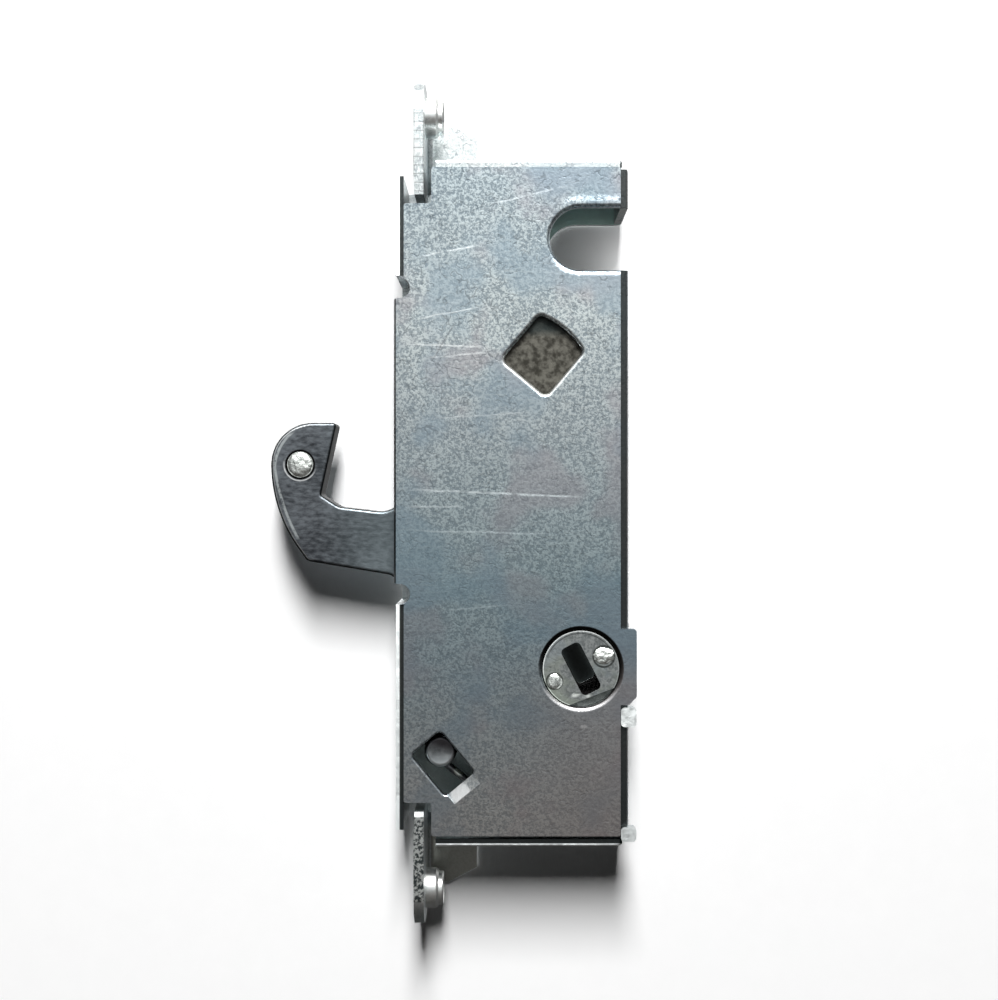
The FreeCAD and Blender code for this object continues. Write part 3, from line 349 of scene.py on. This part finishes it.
def paintFold(surface, colour):
    # the front fold is lit like the plate, with a black line of painted shade along its outer edge
    fold = (1 - surface.x.ease(-1.1, -0.9)) * surface.z.between(-9.5, 24.1, 0.1)
    surface.front = fold * (1 - surface.y.ease(-5.56, -5.46))
    return surface.paint(colour, coverTones["line"], fold * surface.y.between(-5.52, -4.75, 0.06))


def coverMarks(surface, colour, rough):
    # painted light: the tone by height brightens the plate towards its upper end, over a tint
    level = (surface.z + halfPlate) * (0.5 / halfPlate)
    colour = surface.node("Mix", {"data_type": "RGBA", "blend_type": "MULTIPLY"},
                          {0: 1.0, 6: colour, 7: surface.ramp(level, tintAndPaintedLight)}, output=2)
    colour, deep, roll = paintDiamond(surface, colour)
    colour = paintHubHole(surface, colour)
    # a painted highlight: the window's lower lip catches the light
    lip = (1 - surface.away(windowLip).ease(0.9, 1.5)) * surface.y.ease(-5.99, -5.93)
    colour = surface.paint(colour, coverTones["lip"], lip)
    colour = paintFold(surface, colour)
    lean = lip * coverLean["lip"] + pushedMetal(surface) * coverLean["pushed"] + roll * coverLean["roll"]
    return colour, rough + deep * floorRoughness, lean


tornTones = [(0.10, 0.12, 0.12), (0.85, 0.88, 0.86)]
trayTones = {
    "endShade": ((0.02, 0.025, 0.025), 0.93),
    "windowShade": ((0.26, 0.33, 0.32), 0.7),
    "notchLight": ((0.72, 1.0, 0.92), 0.9),
    "sheared": ((0.10, 0.11, 0.11), 1.0),
    "gusset": ((0.17, 0.165, 0.14), 0.85),
    "bright": ((0.90, 0.93, 0.92), 1.0),
}
# how far parts of the tray lean up: with the grit, and evenly
trayLean = {
    "left": (0.3, 0.0),
    "under": (0.5, 0.1),
    "cap": (0.5, 0.0),
    "stake": (0.4, -0.08),
    "notchLight": (0.0, -0.06),
}


def trayMarks(surface, colour, rough):
    x, y, z = surface.x, surface.y, surface.z
    # the walls' near ends have painted shade inside, where the cover's edge shades them, and a painted
    # highlight at the outer edge
    end = y.between(-5.60, -5.05, 0.05)
    front = (1 - x.ease(-1.1, -0.9)) * end
    bottom = (1 - z.ease(-39.6, -39.5)) * x.ease(2.2, 2.4) * end
    back = x.ease(24.3, 24.4) * end
    frontInner = x.ease(-1.75, -1.60)
    bottomInner = z.ease(-40.30, -40.15)
    backInner = 1 - x.ease(25.12, 25.22)
    endShade = front * frontInner + bottom * bottomInner + back * backInner
    colour = surface.paint(colour, trayTones["endShade"], endShade)
    left = front * (1 - frontInner)
    under = bottom * (1 - bottomInner)

    # painted shade darkens the far plate behind the window, and painted light makes it pale green through
    # the notch
    far = y.between(4.9, 5.4, 0.05)
    colour = surface.paint(colour, trayTones["windowShade"], (1 - surface.away(windowCentre).ease(5, 7)) * far)
    notchLight = (1 - surface.away(notchCentre).ease(7.0, 9.0)) * far
    colour = surface.paint(colour, trayTones["notchLight"], notchLight)

    # the ears' near edges are sheared: ticks on the upper one, a crumbled edge on the lower one
    ear = (1 - y.ease(-5.97, -5.92)) * (1 - x.ease(1.4, 1.6))
    upperEar = z.ease(-1, 1)
    tick = ((z * 0.98).math("FRACT") - 0.5).size().ease(0.42, 0.48)
    side = (x - 0.6).size().ease(0.46, 0.56)
    colour = surface.paint(colour, trayTones["sheared"], ear * upperEar * (tick * 0.55 + side * 0.5))
    crumbs = surface.noise(0.42, 3.0, 0.6, shift=(3, 3, 3)).ease(0.44, 0.58)
    top = z.between(-37.0, -36.2, 0.06)
    colour = surface.mix(colour, surface.mix(*tornTones, crumbs), ear * (1 - upperEar) * (1 - top))

    # painted shade makes the lower gusset's near face dark brown
    gusset = y.between(4.95, 5.5, 0.05) * (1 - z.ease(-41.0, -40.6)) * x.ease(1.3, 1.7)
    colour = surface.paint(colour, trayTones["gusset"], gusset)

    # painted highlights make the outer edges, the stakes and the top of the lower ear bright, and they are
    # gritty
    cap = ear * top
    stake = (1 - y.ease(-5.85, -5.75)) * x.ease(24.2, 24.4)
    bright = left + under + stake + cap
    colour = surface.paint(colour, trayTones["bright"], bright.math("MINIMUM", 1.0))
    grit = surface.noise(0.8, 3.0, 0.6, shift=(6, 1, 2))
    parts = {"left": left, "under": under, "cap": cap, "stake": stake, "notchLight": notchLight}
    lean = sum(parts[name] * (grit * gritty + even) for name, (gritty, even) in trayLean.items())
    return colour, rough, lean


hubTones = {
    "grooveShade": ((0.10, 0.11, 0.11), 0.8),
    "rim": ((0.95, 0.97, 0.95), 0.8),
    "face": ((0.66, 0.74, 0.63), 0.7),
    "line": ((0.03, 0.035, 0.03), 0.8),
    "fold": ((0.93, 0.96, 0.90), 0.9),
}
hubLean = {"rim": 0.15, "fold": 0.13}
hubFold = {"start": (18.4, -22.70), "end": (21.2, -22.80), "halfWidth": 0.20}
# the dark lines round the hub's two peened heads: centre and radius
headLines = [((16.60, -21.02), 0.95), ((22.42, -18.10), 1.25)]
# the slot's walls are painted black as shade, and rougher than the rest
slotRoughness = 0.5


def hubMarks(surface, colour, rough):
    # a painted highlight makes the journal's rim bright, with a dark line of painted shade inside it on its
    # upper side
    ring = surface.away(hubCentre)
    rim = ring.ease(4.36, 4.42) * (1 - surface.x.ease(21, 24) * 0.7)
    grooveShade = ring.between(4.12, 4.25, 0.05) * surface.z.ease(-19.5, -16.5)
    face = ring.ease(3.4, 4.0) * (1 - (surface.z + surface.x * 0.5).ease(-13.5, -11.5))
    colour = surface.paint(colour, hubTones["grooveShade"], grooveShade)
    colour = surface.paint(colour, hubTones["rim"], rim)
    colour = surface.paint(colour, hubTones["face"], face)
    for centre, radius in headLines:
        line = surface.away(centre).between(radius - 0.12, radius + 0.10, 0.06)
        colour = surface.paint(colour, hubTones["line"], line)
    # a fold lies below the slot, with a painted highlight along it
    fold = scratchMask(surface, hubFold["start"], hubFold["end"], hubFold["halfWidth"])
    colour = surface.paint(colour, hubTones["fold"], fold)
    # painted shade makes the slot's walls and what lies deep inside the lock black
    depth = surface.y.size()
    wall = 1 - ring.ease(3.3, 3.5)
    inside = (1 - depth.ease(5.70, 5.78)) * wall.math("MAXIMUM", depth.ease(4.2, 4.4))
    surface.front = inside * wall
    colour = surface.paint(colour, black, inside)
    return colour, rough + inside * slotRoughness, rim * hubLean["rim"] + fold * hubLean["fold"]


def camMarks(surface, colour, rough):
    # painted shade makes the walls of the slot black
    inside = 1 - surface.away(hubCentre).ease(3.5, 3.7)
    surface.front = inside
    return surface.paint(colour, black, inside), rough + inside * slotRoughness, 0.0


postTones = {"shade": ((0.03, 0.022, 0.026), 0.85), "lit": ((0.62, 0.66, 0.67), 1.0)}
postLean = 0.10


def postMarks(surface, colour, rough):
    # the spring post's head has painted shade above and a painted highlight along its lower rim
    near = 1 - surface.away(postCentre).ease(2.5, 3.0)
    shade = near * (surface.z + surface.x * 0.3).ease(-29.2, -27.4)
    lit = near * (1 - surface.z.ease(-31.3, -29.3))
    colour = surface.paint(colour, postTones["shade"], shade)
    return surface.paint(colour, postTones["lit"], lit), rough, lit * postLean


wireGlint = {"centre": (5.3, -32.8), "tone": ((0.95, 0.98, 0.90), 1.0), "lean": 0.10}


def wireMarks(surface, colour, rough):
    # a painted glint on one turn of the spring in the window
    glint = 1 - surface.away(wireGlint["centre"]).ease(0.5, 0.9)
    return surface.paint(colour, wireGlint["tone"], glint), rough, glint * wireGlint["lean"]


headLean = {"hub": 0.20, "hook": 0.06}


def headMarks(surface, colour, rough):
    # peened heads catch the light from above, and the hub's more than the hook's
    grit = surface.noise(0.5, 2.0, 0.5, shift=(5, 5, 2))
    onHub = surface.x.ease(0, 5)
    return colour, rough, grit * (onHub * (headLean["hub"] - headLean["hook"]) + headLean["hook"])


hookTones = {
    "arm": ((0.30, 0.37, 0.39), 0.45),
    "edge": ((0.028, 0.032, 0.032), 1.0),
    "line": ((0.80, 0.82, 0.82), 0.8),
    "paleStreak": ((0.62, 0.66, 0.66), 0.8),
    "ring": ((0.85, 0.86, 0.86), 1.0),
}
# the pale streak follows two arcs: centre, radius, and the heights between which it is drawn
paleStreakArcs = [((-11.07, 3.97), 5.82, (4.2, 8.4)), ((7.43, 7.5), 24.52, (-4.2, 4.2))]


def hookMarks(surface, colour, rough):
    # the arm is paler towards the case, and painted shade darkens the plates' edges
    depth = surface.y.size()
    colour = surface.paint(colour, hookTones["arm"], surface.x.ease(-13, -3))
    colour = surface.paint(colour, hookTones["edge"], 1 - depth.ease(2.28, 2.37))
    # a painted highlight lies where the back's roll begins
    line = depth.between(2.368, 2.396, 0.004) * (1 - surface.x.ease(-13.5, -12.0))
    colour = surface.paint(colour, hookTones["line"], line)
    # and a pale streak inside it, from the top of the back to its foot
    paleStreak = surface.noise(1.0, 3.0, 0.6, shift=(4, 1, 9)).ease(0.38, 0.50)
    behind = 1 - surface.x.ease(-13.6, -12.8)
    for centre, radius, (low, high) in paleStreakArcs:
        off = (surface.away(centre) - radius).size()
        streak = (1 - off.ease(0.08, 0.22)) * surface.z.between(low, high, 0.3) * behind * paleStreak
        colour = surface.paint(colour, hookTones["paleStreak"], streak)
    # a black ring of painted shade in the recess goes round the tip's rivet, with a painted highlight below
    # it
    ring = surface.away(tipRivetCentre)
    below = 1 - (surface.z + surface.x * 0.3).ease(-0.9, 0.9)
    colour = surface.paint(colour, black, ring.between(1.50, 1.80, 0.04))
    colour = surface.paint(colour, hookTones["ring"], ring.between(1.86, 2.02, 0.04) * below)
    return colour, rough, 0.0


# the other finishes, each given as what it changes of the one that it starts from
caseZinc = {**coverZinc, "pale": (0.76, 0.79, 0.79), "dull": (0.52, 0.57, 0.57),
            "warm": (0.62, 0.61, 0.60), "blue": (0.55, 0.62, 0.64), "roughness": 0.38}
nutZinc = {**caseZinc, "pale": (1.0, 1.0, 0.98), "dull": (0.88, 0.90, 0.87),
           "warm": (0.95, 0.95, 0.92), "blue": (0.92, 0.95, 0.94), "stainSize": 3.0, "roughness": 0.34}
hubZinc = {**caseZinc, "pale": (0.66, 0.69, 0.68), "dull": (0.30, 0.33, 0.33),
           "warm": (0.52, 0.57, 0.50), "stainSize": 2.2, "mottleSize": 0.5, "roughness": 0.32}
pinSteel = {"pale": (0.42, 0.44, 0.45), "dark": (0.25, 0.27, 0.28), "roughness": 0.35,
            "grainSize": 0.6, "relief": 0.01, "stretch": (1, 1, 1)}
hookSteel = {**pinSteel, "pale": (0.215, 0.235, 0.255), "dark": (0.06, 0.064, 0.072),
             "roughness": 0.38, "relief": 0.02, "stretch": (0.6, 1, 1.4)}
rivetZinc = {**pinSteel, "pale": (0.86, 0.89, 0.85), "dark": (0.50, 0.53, 0.50),
             "roughness": 0.32, "grainSize": 0.5, "relief": 0.08}
bushBrass = {**pinSteel, "pale": (0.80, 0.62, 0.30), "dark": (0.56, 0.42, 0.20),
             "roughness": 0.32, "grainSize": 0.5}
washerZinc = {**pinSteel, "pale": (0.66, 0.69, 0.70), "dark": (0.44, 0.46, 0.47),
              "roughness": 0.36, "grainSize": 0.5}
camSteel = {**pinSteel, "pale": (0.29, 0.32, 0.31), "dark": (0.14, 0.16, 0.15),
            "roughness": 0.40, "grainSize": 0.9, "relief": 0.02}
springSteel = {**pinSteel, "pale": (0.30, 0.30, 0.31), "dark": (0.16, 0.16, 0.17),
               "roughness": 0.34, "grainSize": 0.4}
materials = {
    "case_zinc": zincPlate("caseZinc", caseZinc, trayMarks),
    "cover_zinc": zincPlate("coverZinc", coverZinc, coverMarks, scratches),
    "nut_zinc": zincPlate("nutZinc", nutZinc, plain),
    "hook_steel": steel("hookSteel", hookSteel, hookMarks),
    "rivet_zinc": steel("rivetZinc", rivetZinc, headMarks),
    "pin_steel": steel("pinSteel", pinSteel, postMarks),
    "bush_brass": steel("bushBrass", bushBrass, plain),
    "washer_zinc": steel("washerZinc", washerZinc, plain),
    "hub_zinc": zincPlate("hubZinc", hubZinc, hubMarks),
    "cam_steel": steel("camSteel", camSteel, camMarks),
    "spring_steel": steel("springSteel", springSteel, wireMarks),
}
for part in frame["record"]["subparts"]:
    piece = nodes[part["node"]]
    if not piece.material_slots:
        piece.data.materials.append(None)
    for holder in piece.material_slots:
        holder.material = materials[part["material_slot"]]
print("materials", len(materials))


def addObject(name, data):
    made = bpy.data.objects.new(name, data)
    bpy.context.scene.collection.objects.link(made)
    return made


def addMesh(name, mesh):
    data = bpy.data.meshes.new(name)
    mesh.to_mesh(data)
    mesh.free()
    return addObject(name, data)


# peened heads: centre, radius and how uneven each is, in millimetres
rivetHeads = {
    "hubRivetHeadUpper": {"body": "hub", "place": (22.42, -5.78, -18.02),
                          "radius": (1.28, 0.22, 0.98), "rough": 0.34},
    "hubRivetHeadLower": {"body": "hub", "place": (16.60, -5.78, -21.02),
                          "radius": (0.74, 0.15, 0.94), "rough": 0.18},
    "hookTipRivetHead": {"body": "hook", "place": (-13.84, -2.30, 4.62),
                         "radius": (1.50, 0.30, 1.50), "rough": 0.14},
}
# the two grains of dents: how fine each is, where its noise is taken from and how deep it goes
headDents = [(2.3, 900, 1.0), (5.1, 700, 0.5)]
# how much of the unevenness goes sideways
headSpread = 0.4


def makeRivetHead(name, look):
    mesh = bmesh.new()
    bmesh.ops.create_uvsphere(mesh, u_segments=48, v_segments=32, radius=1)
    bmesh.ops.rotate(mesh, verts=mesh.verts, matrix=Matrix.Rotation(math.radians(90), 3, "X"))
    place = Vector(look["place"]) * mm
    for vert in mesh.verts:
        way = vert.co.copy()
        dent = sum(noise.noise(way * finer + place * source) * deep for finer, source, deep in headDents)
        swell = 1 + look["rough"] * dent
        spread = 1 + look["rough"] * headSpread * dent
        flat = Vector(part * reach for part, reach in zip(way, look["radius"]))
        flat.y = max(flat.y * swell, -look["radius"][1])
        flat.x *= spread
        flat.z *= spread
        vert.co = place + flat * mm
    bmesh.ops.recalc_face_normals(mesh, faces=mesh.faces)
    for face in mesh.faces:
        face.smooth = True
    head = addMesh(name, mesh)
    head.data.materials.append(materials["rivet_zinc"])
    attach(head, look["body"])


for name, look in rivetHeads.items():
    makeRivetHead(name, look)
print("rivet heads", len(rivetHeads))


# the shade is a painted shadow, a dark patch that only the hub's slot shows;
# it and the fibre are measured in millimetres, the width and the gap behind the lock in metres
paper = {
    "width": 1.6,
    "behind": 0.00002,
    "dull": (0.95, 0.95, 0.95),
    "white": (0.99, 0.99, 0.99),
    "fibreSize": 3.0,
    "glow": 0.003,
    "shade": (0.12, 0.14, 0.14),
    "shadeCentre": (20.3, -20.8),
    "shadeRadius": (4, 5),
}


def makePaper():
    # the sheet that the lock lies on: it takes the shadow, and only the camera sees it, from its front
    back = cadBounds[1].y + paper["behind"]
    mesh = bmesh.new()
    upright = Matrix.Translation((0, back, 0)) @ Matrix.Rotation(math.radians(90), 4, "X")
    bmesh.ops.create_grid(mesh, x_segments=1, y_segments=1, size=paper["width"] / 2, matrix=upright)
    sheet = addMesh("paper", mesh)
    sheet.visible_diffuse = sheet.visible_glossy = sheet.visible_transmission = sheet.visible_shadow = False
    surface = Surface("paperWhite", Roughness=1.0, Specular_IOR_Level=0.0,
                      Emission_Color=(1, 1, 1, 1), Emission_Strength=paper["glow"])
    colour = surface.mix(paper["dull"], paper["white"], surface.noise(paper["fibreSize"], 4.0))
    # painted shadow: the sheet is dark behind the hub's slot
    shade = 1 - surface.away(paper["shadeCentre"]).ease(*paper["shadeRadius"])
    surface.set("Base Color", surface.mix(colour, paper["shade"], shade))
    clear = surface.node("BsdfTransparent")
    behind = surface.node("NewGeometry", output="Backfacing")
    front = Sock(surface, surface.shader.outputs[0])
    both = surface.node("MixShader", None, {0: behind, 1: front, 2: clear})
    surface.link(both, surface.tree.nodes["Material Output"].inputs["Surface"])
    sheet.data.materials.append(surface.material)


# how bright the room looks from the metal, by the height of the direction: near is in front of the paper;
# dim is how much darker it is to the sides, and soft is the even light that it gives
room = {
    "near": [(0.0, (0.04, 0.038, 0.036)), (0.39, (0.17, 0.16, 0.155)), (0.50, (0.40, 0.415, 0.425)),
             (0.61, (0.66, 0.69, 0.70)), (0.80, (1.0, 1.0, 1.0))],
    "far": [(0.30, (0.06, 0.06, 0.06)), (0.50, (0.35, 0.35, 0.35)), (0.66, (1.0, 1.0, 1.0))],
    "join": 0.15,
    "dim": 0.75,
    "dimmed": (0.30, 0.80),
    "soft": (0.013, 0.013, 0.013),
    "white": (1.0, 1.0, 1.0),
}


def makeRoom():
    # white for the camera; metal sees a room that darkens downwards and to the sides, with the paper behind
    world = bpy.data.worlds.new("room")
    bpy.context.scene.world = world
    world.use_nodes = True
    world.cycles.sampling_method = "NONE"
    tree = Tree(world.node_tree)
    right, away, up = tree.parts(tree.node("TexCoord", output="Generated"))
    height = up * 0.5 + 0.5
    light = 1 - right.size().ease(*room["dimmed"]) * room["dim"]
    near = tree.ramp(height, room["near"])
    near = tree.node("VectorMath", {"operation": "SCALE"}, {"Vector": near, "Scale": light})
    whole = tree.mix(near, tree.ramp(height, room["far"]), away.ease(-room["join"], room["join"]))
    lit = tree.mix(room["soft"], whole, tree.node("LightPath", output="Is Glossy Ray"))
    seen = tree.mix(lit, room["white"], tree.node("LightPath", output="Is Camera Ray"))
    tree.link(seen, world.node_tree.nodes["Background"].inputs["Color"])


# the key hangs level above the page, lights the paper and throws the shadow; the side lamp lights the paper
# in the notch; the glint and the rear lamp show only on the metal
lamps = {
    "key": {"place": (0.011, -0.54, 0.40), "aim": (0.011, -0.54, 0), "size": (0.11, 0.50),
            "watts": 9.7, "diffuse": True, "glossy": False},
    "side": {"place": (0.030, 0.002, 0.0295), "aim": (0.02, 0.006, 0.029), "size": (0.004, 0.004),
             "watts": 0.0004, "diffuse": True, "glossy": False},
    "glint": {"place": (0.05, -0.36, 0.46), "aim": (0.01, 0, 0), "size": (0.20, 0.26),
              "watts": 5.6, "diffuse": False, "glossy": True},
    "rear": {"place": (-0.25, 0.55, 0.35), "aim": (0.01, 0, 0), "size": (0.5, 0.5),
             "watts": 2.0, "diffuse": False, "glossy": True},
}


def makeLamp(name, look):
    data = bpy.data.lights.new(name, "AREA")
    data.shape = "RECTANGLE"
    data.size, data.size_y = look["size"]
    data.energy = look["watts"]
    lamp = addObject(name, data)
    lamp.location = look["place"]
    lamp.rotation_euler = (Vector(look["aim"]) - lamp.location).to_track_quat("-Z", "Y").to_euler()
    lamp.visible_diffuse = look["diffuse"]
    lamp.visible_glossy = look["glossy"]
    lamp.visible_camera = False


camera = {"place": (0.01007, -0.178, 0.00035), "lens": 52.6, "nearest": 0.005}


def makeCamera():
    data = bpy.data.cameras.new("camera")
    data.lens = camera["lens"]
    data.clip_start = camera["nearest"]
    eye = addObject("camera", data)
    eye.location = camera["place"]
    eye.rotation_euler = (math.radians(90), 0, 0)
    bpy.context.scene.camera = eye


makePaper()
makeRoom()
for name, look in lamps.items():
    makeLamp(name, look)
makeCamera()
bpy.context.scene.view_settings.view_transform = "Standard"
print("stage, lamps and camera")
